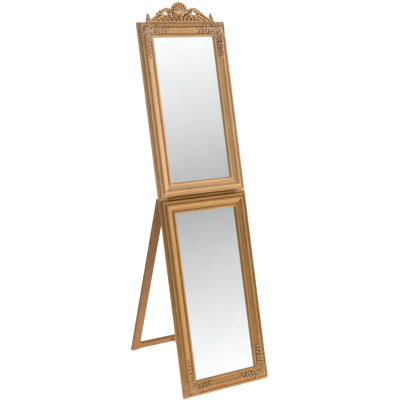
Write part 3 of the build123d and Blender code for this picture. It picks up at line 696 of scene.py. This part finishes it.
class Relief:
    """Closed strips and beads gathered before they are fused. Depths come from a ground surface.

    front is how far forward a leaf may come at height 0; higher up it may come as far as a
    vertical plane through that line.
    """

    def __init__(self, ground, back, front=FREE_FRONT):
        self.ground = ground
        self.back = back
        self.front = front
        self.points = []
        self.faces = []
        self.count = 0

    def add(self, points, faces):
        self.points.append(points)
        self.faces += [tuple(v + self.count for v in face) for face in faces]
        self.count += len(points)

    def strip(self, line, widths, heights, kind="round", lobes=0, across=11):
        """A strip along line, with its half widths and heights listed from start to end."""
        line = np.asarray(line, float)
        rows = len(line)
        share = np.linspace(0, 1, rows)
        half = np.interp(share, np.linspace(0, 1, len(widths)), widths)
        high = np.interp(share, np.linspace(0, 1, len(heights)), heights)
        if lobes:
            half = half * (LOBE_LOW + LOBE_RISE * np.abs(np.sin(math.pi * lobes * share)))
        tangent = np.gradient(line, axis=0)
        tangent /= np.maximum(np.linalg.norm(tangent, axis=1, keepdims=True), 1e-9)
        normal = np.stack([-tangent[:, 1], tangent[:, 0]], 1)
        side = np.sin(np.linspace(-math.pi / 2, math.pi / 2, across))
        reach = side[None, :, None] * half[:, None, None]
        place = line[:, None] + normal[:, None] * reach
        rise = section_height(side, kind)[None] * high[:, None]
        ground = self.ground(place[..., 0], place[..., 1])
        if kind != "skin":
            ground = np.minimum(ground, ground.min(axis=1, keepdims=True) + BRIDGE_DEPTH)
        depth = ground - rise
        depth = np.maximum(depth, self.front - place[..., 1] * math.tan(LEAN))
        front = np.stack([place[..., 0], depth, place[..., 1]], -1)
        self.add(*closed_patch(front, self.back(place[..., 0], place[..., 1])))

    def leaf(self, points, width, height, lobes, tip=0.25):
        """A pointed leaf with a midrib along a few points, widest a third of the way along."""
        widths = [width * w for w in (0.45, 0.85, 1.0, 0.92, 0.7, tip)]
        heights = [height * h for h in (0.6, 0.85, 1.0, 1.0, 1.0, 0.8)]
        self.strip(smooth_line(points, 20), widths, heights, "leaf", lobes)

    def bead(self, centre, radius, height):
        """A domed bead on the ground surface."""
        rings, segments = 9, 14
        depth = float(self.ground(np.array(centre[0]), np.array(centre[1])))
        points, faces = [], []
        for ring in range(1, rings):
            polar = math.pi * ring / rings
            for segment in range(segments):
                turn = 2 * math.pi * segment / segments
                points.append((centre[0] + radius * math.sin(polar) * math.cos(turn),
                               depth - height * math.cos(polar),
                               centre[1] + radius * math.sin(polar) * math.sin(turn)))
        for ring in range(rings - 2):
            for segment in range(segments):
                other = (segment + 1) % segments
                faces.append((ring * segments + segment, ring * segments + other,
                              (ring + 1) * segments + other, (ring + 1) * segments + segment))
        faces.append(tuple(range(segments - 1, -1, -1)))
        faces.append(tuple((rings - 2) * segments + s for s in range(segments)))
        self.add(np.array(points), faces)

    def flower(self, centre, radius, height, petals):
        """A bead among round petals."""
        for petal in range(petals):
            angle = 2 * math.pi * petal / petals
            out = np.array([math.cos(angle), math.sin(angle)])
            start = np.array(centre) + out * radius * 0.25
            self.strip([start, start + out * radius * 0.4, start + out * radius * 0.75],
                       [radius * 0.25, radius * 0.42, radius * 0.2],
                       [height * 0.8, height * 0.9, height * 0.6], across=7)
        self.bead(centre, radius * 0.3, height * 1.15)


# %% [markdown]
# ## Casting
# A resin casting is one solid that keeps a little less detail than its carved master. A voxel
# remesh fuses the overlapping strips in the same way, two rounds of smoothing take off the
# edges, and a decimation drops the faces that nobody would miss.

# %% Fusing a relief into one cast piece
CREST_VOXEL = 0.8       # mm: the finest detail that a casting keeps
CORNER_VOXEL = 0.7
SOFTENING = 0.5
SOFTENING_ROUNDS = 2
FACES_KEPT = 0.6


def cast(relief, name, material, voxel):
    """The strips fused by a voxel remesh, smoothed, and leant back with the mirror."""
    points = np.concatenate(relief.points)
    rough = make_object(name + "_master", points, relief.faces, material)
    remesh = rough.modifiers.new("fuse", "REMESH")
    remesh.mode = "VOXEL"
    remesh.voxel_size = voxel
    remesh.use_smooth_shade = True
    soften = rough.modifiers.new("soften", "SMOOTH")
    soften.factor = SOFTENING
    soften.iterations = SOFTENING_ROUNDS
    thin = rough.modifiers.new("thin", "DECIMATE")
    thin.ratio = FACES_KEPT
    graph = bpy.context.evaluated_depsgraph_get()
    mesh = bpy.data.meshes.new_from_object(rough.evaluated_get(graph))
    bpy.data.objects.remove(rough)
    mesh.name = name
    mesh.transform(PANEL)
    mesh.polygons.foreach_set("use_smooth", [True] * len(mesh.polygons))
    mesh.materials.clear()
    mesh.materials.append(material)
    made = bpy.data.objects.new(name, mesh)
    bpy.context.scene.collection.objects.link(made)
    print(name, "faces", len(mesh.polygons))
    return made


# %% [markdown]
# ## Cast and antiqued
# The castings get the same bronze paint, then a thin wash of umber that runs into every recess,
# and there it is also painted shade. A rub of pale gold on what stands highest is partly wear and
# partly a painted highlight. Pointiness, which is high on ridges and low in hollows, places the
# rub, and ambient occlusion places the wash. The crest is the brightest, and the upper corners
# are paler than the lower ones.

# %% The antiqued finish
WASH_AND_SHADE_REACH = 0.009      # how wide a recess gets the wash and painted shade
WASH_AND_SHADE_WIPE = [(0.25, 0.0), (0.68, 1.0)]      # from shut in, all wash and painted shade, to open, all gold
RUB_AND_HIGHLIGHT_EDGE = [(0.49, 0.0), (0.54, 1.0)]       # from hollow, bare, to ridge, rubbed and painted highlight
TARNISH_CLOUDS = 45.0   # per metre: 22 mm
CAST_GRAINS = 400.0     # 2.5 mm, coarser than real powder, which wouldn't show
GRAIN_RELIEF = 0.0004
CAST_METAL = 0.4
CAST_ROUGHNESS = 0.42


def antiqued_cast(name, mid, rub_and_highlight, wash_and_shade, tarnish):
    """Cast resin in bronze paint: mid and tarnish in clouds, rub and painted highlight on ridges,
    wash and painted shade in recesses.
    """
    material, tree, output = new_material(name)
    place = add_node(tree, "TexCoord").outputs["Object"]
    shape = add_node(tree, "NewGeometry").outputs["Pointiness"]
    clouds = add_node(tree, "TexNoise", {"Vector": place, "Scale": TARNISH_CLOUDS, "Detail": 3.0})
    grains = add_node(tree, "TexNoise", {"Vector": place, "Scale": CAST_GRAINS, "Detail": 2.0})
    tarnished = add_node(tree, "ValToRGB", {"Fac": clouds.outputs["Fac"]},
                         [(0.35, mid), (0.65, tarnish)])
    # painted highlight, partly wear: pale gold on the ridges that pointiness finds
    ridge = add_node(tree, "ValToRGB", {"Fac": shape}, RUB_AND_HIGHLIGHT_EDGE)
    rubbed_and_highlighted = add_node(tree, "Mix", {SHARE: ridge.outputs["Color"], SECOND: rub_and_highlight,
                                    FIRST: tarnished.outputs["Color"]}, data_type="RGBA")
    # painted shade: the umber wash darkens the recesses that ambient occlusion finds
    open_air = add_node(tree, "AmbientOcclusion", {"Distance": WASH_AND_SHADE_REACH}, samples=8)
    umber_and_shade_mask = add_node(tree, "ValToRGB", {"Fac": open_air.outputs["AO"]}, WASH_AND_SHADE_WIPE)
    colour = add_node(tree, "Mix", {SHARE: umber_and_shade_mask.outputs["Color"], FIRST: wash_and_shade,
                                    SECOND: rubbed_and_highlighted.outputs[MIXED]}, data_type="RGBA")
    bump = add_node(tree, "Bump",
                    {"Height": grains.outputs["Fac"], "Distance": GRAIN_RELIEF, "Strength": 0.3})
    paint = add_node(tree, "BsdfPrincipled",
                     {"Base Color": colour.outputs[MIXED], "Metallic": CAST_METAL,
                      "Roughness": CAST_ROUGHNESS, "Normal": bump.outputs[0]})
    tree.links.new(paint.outputs[0], output.inputs[0])
    return material


# antiqued gilts: wash and painted shade in recesses, rub and painted highlight on ridges
CREST_GILT = antiqued_cast("antiqued_crest_gilt_painted_light", "#c98f52", "#ffdfb0", "#431d06", "#b58245")
PALE_CORNER_GILT = antiqued_cast("antiqued_pale_gilt_painted_light", "#946b45", "#e6c09b", "#38200a", "#876b55")
WARM_CORNER_GILT = antiqued_cast("antiqued_warm_gilt_painted_light", "#94693b", "#dbae7c", "#361d08", "#7d5c34")
print("finishes in all:", len(bpy.data.materials))

# %% [markdown]
# ## The crest
# A scallop shell stands in the middle: nine ribs spread from its hinge to a rolled rim. On each
# side a heavy C-scroll rises beside it and curls over a small opening, and a ribbed stem runs
# down from the scroll to a plump plume at the end. Tongues of leaf fill the foot, with deep gaps
# between them that will hold the umber wash and painted shade. One half is drawn, in millimetres
# from the middle and above the frame, and the other mirrors it.

# %% The crest's right half, drawn twice
CREST_BACK = 27.6       # depths behind the moulding's front line
CREST_GROUND = 24.0
SHELL_HINGE = 34.0      # the ribs' centre, above the frame
SHELL_RIBS = 9
SHELL_SPREAD = math.radians(64)
TONGUES = [((15, 3), (37, 35), 5.4, 15), ((34, 3), (57, 27), 5.4, 14), ((53, 3), (78, 22), 5.2, 13),
           ((72, 3), (98, 17), 4.8, 12), ((90, 3), (115, 11), 4.2, 10)]


def crest_half(relief, sign):
    """The scrollwork on one side: sign is 1 for the right and -1 for the left."""
    def at(*points):
        return [(sign * x, UPPER_TOP + z) for x, z in points]

    # the C-scroll's heavy band and the thinner band inside it
    outer = at((106, 41), (97, 49), (87, 56), (76, 61.5), (66, 62.5), (55, 59), (48.5, 51.5),
               (47, 43), (50, 37), (55, 37))
    relief.strip(smooth_line(outer, 70), [3.4, 4.8, 5.0, 5.0, 4.4, 3.2],
                 [12, 16, 17, 17, 15, 12], "band")
    inner = at((104, 33), (96, 40), (88, 46.5), (79, 52.5), (70, 54.5), (61.5, 51.5), (56.5, 45))
    relief.strip(smooth_line(inner, 40), [3.0, 3.4, 3.2, 2.6], [10, 13, 13, 12])
    relief.strip(smooth_line(inner, 40), [5.5, 5.5], [4, 4])
    relief.bead(at((57, 39.5))[0], 4.4, 15)
    # the stem, with two ribs, from the scroll down to the end
    upper_rib = at((106, 41), (116, 34), (128, 26), (140, 18), (151, 11.5), (160, 8))
    lower_rib = at((90, 32), (102, 26.5), (114, 19), (126, 11.5), (138, 6.5), (150, 4.5))
    relief.strip(smooth_line(upper_rib, 40), [4.2, 4.2, 3.8, 3.2], [15, 14, 12, 9], "band")
    relief.strip(smooth_line(lower_rib, 36), [3.2, 3.4, 3.0, 2.2], [12, 11, 9, 6])
    # leaf tips that break the stem's line
    relief.leaf(at((95, 46), (101, 51.5), (108, 54)), 4.0, 11, 0)
    relief.leaf(at((108, 36), (114, 42), (121, 43)), 4.0, 11, 0)
    # the plump plume at the end
    relief.strip(smooth_line(at((164, 0.5), (162.5, 12), (162, 24), (162.5, 35)), 24),
                 [12.5, 12.0, 10.2, 7.6, 5.0], [10, 12, 12, 11, 8], "leaf", 3)
    relief.bead(at((162.5, 37))[0], 5.6, 9)
    # tongues of leaf along the foot, lower and flatter towards the end
    for foot, end, width, height in TONGUES:
        bow = (foot[0] + 0.32 * (end[0] - foot[0]), foot[1] + 0.6 * (end[1] - foot[1]))
        relief.leaf(at(foot, bow, end), width, height, 0, 0.5)
    relief.bead(at((76, 31))[0], 4.6, 12)
    relief.bead(at((68, 32.5))[0], 3.4, 10)
    relief.leaf(at((40, 38), (47, 33), (56, 28)), 3.4, 11, 0)
    # the low ground behind the leaves, clear of the opening
    relief.strip(smooth_line(at((2, 14), (40, 14), (80, 14.5), (100, 15), (125, 9), (146, 5)), 40),
                 [14, 14, 13.5, 13, 7, 3], [2.0, 2.0])
    relief.strip(smooth_line(at((8, 34), (26, 34), (42, 34), (54, 31), (66, 30), (78, 31)), 24),
                 [10, 11, 9, 7, 6, 6], [3, 2.5])
    relief.strip(smooth_line(at((80, 31), (98, 31), (116, 23), (136, 12), (156, 6)), 24),
                 [6, 10, 8, 6, 5], [3, 2.5])


# %% The shell, and the whole crest
def crest_shell(relief):
    """Nine ribs inside a rolled rim, and the tongue that hangs below the hinge."""
    hinge = np.array([0.0, UPPER_TOP + SHELL_HINGE])
    for rib in range(SHELL_RIBS):
        angle = SHELL_SPREAD * (2 * rib / (SHELL_RIBS - 1) - 1)
        reach = 50.0 - 9.0 * (abs(angle) / SHELL_SPREAD) ** 2
        direction = np.array([math.sin(angle), math.cos(angle)])
        line = [hinge + direction * reach * share for share in np.linspace(0.06, 1, 18)]
        relief.strip(line, [1.6, 2.8, 3.8, 4.8, 5.0], [11, 15, 17, 17, 15])
    rim = [(sign * x, UPPER_TOP + z) for sign, half in
           ((-1, ((38, 49), (39, 58), (34, 70.5), (24.5, 81), (12.5, 88.5))),
            (1, ((0, 91.4), (12.5, 88.5), (24.5, 81), (34, 70.5), (39, 58), (38, 49))))
           for x, z in half]
    relief.strip(smooth_line(rim, 120), [3.2, 4.4, 4.8, 4.8, 4.4, 3.2], [9, 11, 11, 9], lobes=13)
    backing = [(0, UPPER_TOP + 30), (0, UPPER_TOP + 52), (0, UPPER_TOP + 70), (0, UPPER_TOP + 86)]
    relief.strip(smooth_line(backing, 24), [18, 32, 32, 14], [10, 13, 13, 8], across=21)
    for sign in (-1, 1):
        wing = [(sign * x, UPPER_TOP + z) for x, z in ((9, 37), (24, 41), (37, 44))]
        relief.leaf(wing, 5.2, 16, 0, 0.5)
    tongue = [(0, UPPER_TOP + z) for z in (40, 28, 17, 4)]
    relief.strip(smooth_line(tongue, 26), [4, 8, 8.5, 7.5, 4], [15, 18, 18, 14, 8], "leaf")


def add_crest():
    relief = Relief(lambda x, z: np.full(np.shape(x), CREST_GROUND),
                    lambda x, z: np.full(np.shape(x), CREST_BACK))
    foot = [(x, UPPER_TOP + 3.2) for x in np.linspace(-177, 177, 60)]
    relief.strip(foot, [3.2, 3.2], [8, 8])
    for sign in (-1, 1):
        crest_half(relief, sign)
    crest_shell(relief)
    crest = cast(relief, "cast_crest_shell", CREST_GILT, CREST_VOXEL)
    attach(crest, "upper_panel")
    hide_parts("crest")


add_crest()

# %% [markdown]
# ## The corner pieces
# Each corner piece is an L of cast leafwork on the moulding's face. A fan of broad leaves covers
# the mitre out to the frame's own corner, and from it a garland of leaves that lean left and
# right in turn, with berries between them, runs along each bar and ends in a bud. The moulding's
# own section is the ground that the leaves lie on.

# %% The moulding's face as a ground surface
SECTION = ((0.0, 17.0), (2.5, 17.0), (5.5, 13.0), (9.0, 6.5), (12.0, 2.0), (15.0, 5.0),
           (19.5, 6.8), (24.0, 3.5), (31.0, 0.0), (36.0, 1.8), (45.0, 7.0), (54.0, 9.5),
           (56.0, 9.0), (63.0, 6.0), (70.0, 9.5))       # from the outer edge, and how deep
GROUND_SINK = 1.5       # how far a leaf's back lies in the moulding
FOOT_FRONT = -0.2       # the leaves of the lower corners stay behind the foot's front line
HEART = 40.0            # from the corner, along both bars, to the middle of the fan
GARLAND_OFFSET = 40.0   # from the outer edge to the garland's middle
GARLAND_START = 64.0
GARLAND_ENDS = {"rail": 152.0, "stile": 168.0}
GARLAND_STEP = 16.5
GARLAND_SHRINK = 0.07   # how much smaller each pair of leaves is than the one before
SKIN_START = 18.0
SKIN_HEIGHT = 0.3
SKIN_WIDTHS = (9.0, 17.0, 18.0, 15.0, 14.0, 13.0, 9.0, 4.0)


def corner_ground(side, base, top):
    """The moulding's depth near a corner at height base. side and top are 1 at the right and up."""
    def depth(x, z):
        along_rail = FRAME_WIDTH / 2 - side * x
        along_stile = (base - z) * top
        offset = np.minimum(along_rail, along_stile)
        return np.interp(offset, *zip(*SECTION))
    return depth


def add_corner(name, side, base, top, body, material):
    """One corner piece, its leaves drawn as (along the rail, along the stile) from the corner."""
    ground = corner_ground(side, base, top)
    relief = Relief(ground, lambda x, z: ground(x, z) + GROUND_SINK,
                    FREE_FRONT if top > 0 else FOOT_FRONT)

    def at(*points):
        return [(side * (FRAME_WIDTH / 2 - p), base - top * q) for p, q in points]

    def fan_leaf(angle, reach, width, height, bend):
        """A lobed leaf from the heart of the mitre, angle in degrees from the rail's direction."""
        turn = math.radians(angle)
        middle = turn + bend
        bow = (HEART + reach * 0.55 * math.cos(middle), HEART + reach * 0.55 * math.sin(middle))
        tip = (HEART + reach * math.cos(turn), HEART + reach * math.sin(turn))
        relief.leaf(at((HEART, HEART), bow, tip), width, height, 2, 0.4)

    # a thin skin under the leaves, whose gaps will hold the umber wash and painted shade
    for bar, end in GARLAND_ENDS.items():
        spine = [(place, GARLAND_OFFSET) for place in np.linspace(SKIN_START, end - 6, 8)]
        if bar == "stile":
            spine = [(q, p) for p, q in spine]
        relief.strip(smooth_line(at(*spine), 60), SKIN_WIDTHS, [SKIN_HEIGHT] * 2, "skin", across=41)
    # the fan: broad leaves to the frame's corner, narrower ones back along both outer beads, and
    # the last three inwards, across the mitre
    for angle, reach, width in ((225, 43, 11.5), (199, 37, 9.5), (251, 37, 9.5),
                                (174, 33, 8.0), (276, 33, 8.0)):
        fan_leaf(angle, reach, width, 7.0, 0.0)
    for angle, bend in ((150, 0.25), (300, -0.25)):
        fan_leaf(angle, 36, 7.4, 6.0, bend)
    for angle, bend in ((122, 0.3), (328, -0.3)):
        fan_leaf(angle, 42, 6.4, 5.5, bend)
    fan_leaf(45, 34, 12.0, 6.5, 0.0)
    for angle, bend in ((12, -0.2), (78, 0.2)):
        fan_leaf(angle, 30, 8.5, 6.0, bend)
    relief.flower(at((HEART, HEART))[0], 14, 8.5, 6)
    # a garland along each bar
    for bar, end in GARLAND_ENDS.items():
        def along(*points):
            return at(*(points if bar == "rail" else [(q, p) for p, q in points]))

        place, size, flare = GARLAND_START, 1.0, 1
        while place < end - 18:
            wander = 2.5 * math.sin(place * 0.11) + SEEDED.uniform(-1.0, 1.0)
            middle = GARLAND_OFFSET + wander
            for way, long, wide in ((flare, 17, 6.8), (-flare, 13, 5.6)):
                reach = size * (14 + SEEDED.uniform(-1.5, 2.0))
                bow = (place + long * 0.45, middle + way * reach * 0.75)
                tip = (place + long * size, middle + way * reach)
                relief.leaf(along((place - 1, middle + way), bow, tip), wide * size, 6.5, 2, 0.45)
            relief.bead(along((place + 9 * size, middle + SEEDED.uniform(-1.5, 1.5)))[0],
                        4.8 * size, 6.5)
            relief.bead(along((place + 1, middle - flare * 13 * size))[0], 3.0 * size, 4.5)
            place += GARLAND_STEP + SEEDED.uniform(-1.0, 1.5)
            size -= GARLAND_SHRINK
            flare = -flare
        tail = GARLAND_OFFSET + 2 * flare
        bud = along((place - 4, tail), (place + 4, tail + 2 * flare), (end - 3, tail))
        relief.leaf(bud, 6.0, 6.0, 2, 0.5)
        relief.bead(along((end - 4, tail))[0], 3.6, 5.0)
    piece = cast(relief, "cast_" + name, material, CORNER_VOXEL)
    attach(piece, body)
    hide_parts(name)


for side, word in ((-1, "left"), (1, "right")):
    add_corner("upper_corner_ornament_" + word, side, UPPER_TOP, 1, "upper_panel",
               PALE_CORNER_GILT)
    add_corner("lower_corner_ornament_" + word, side, 0.0, -1, "lower_panel", WARM_CORNER_GILT)
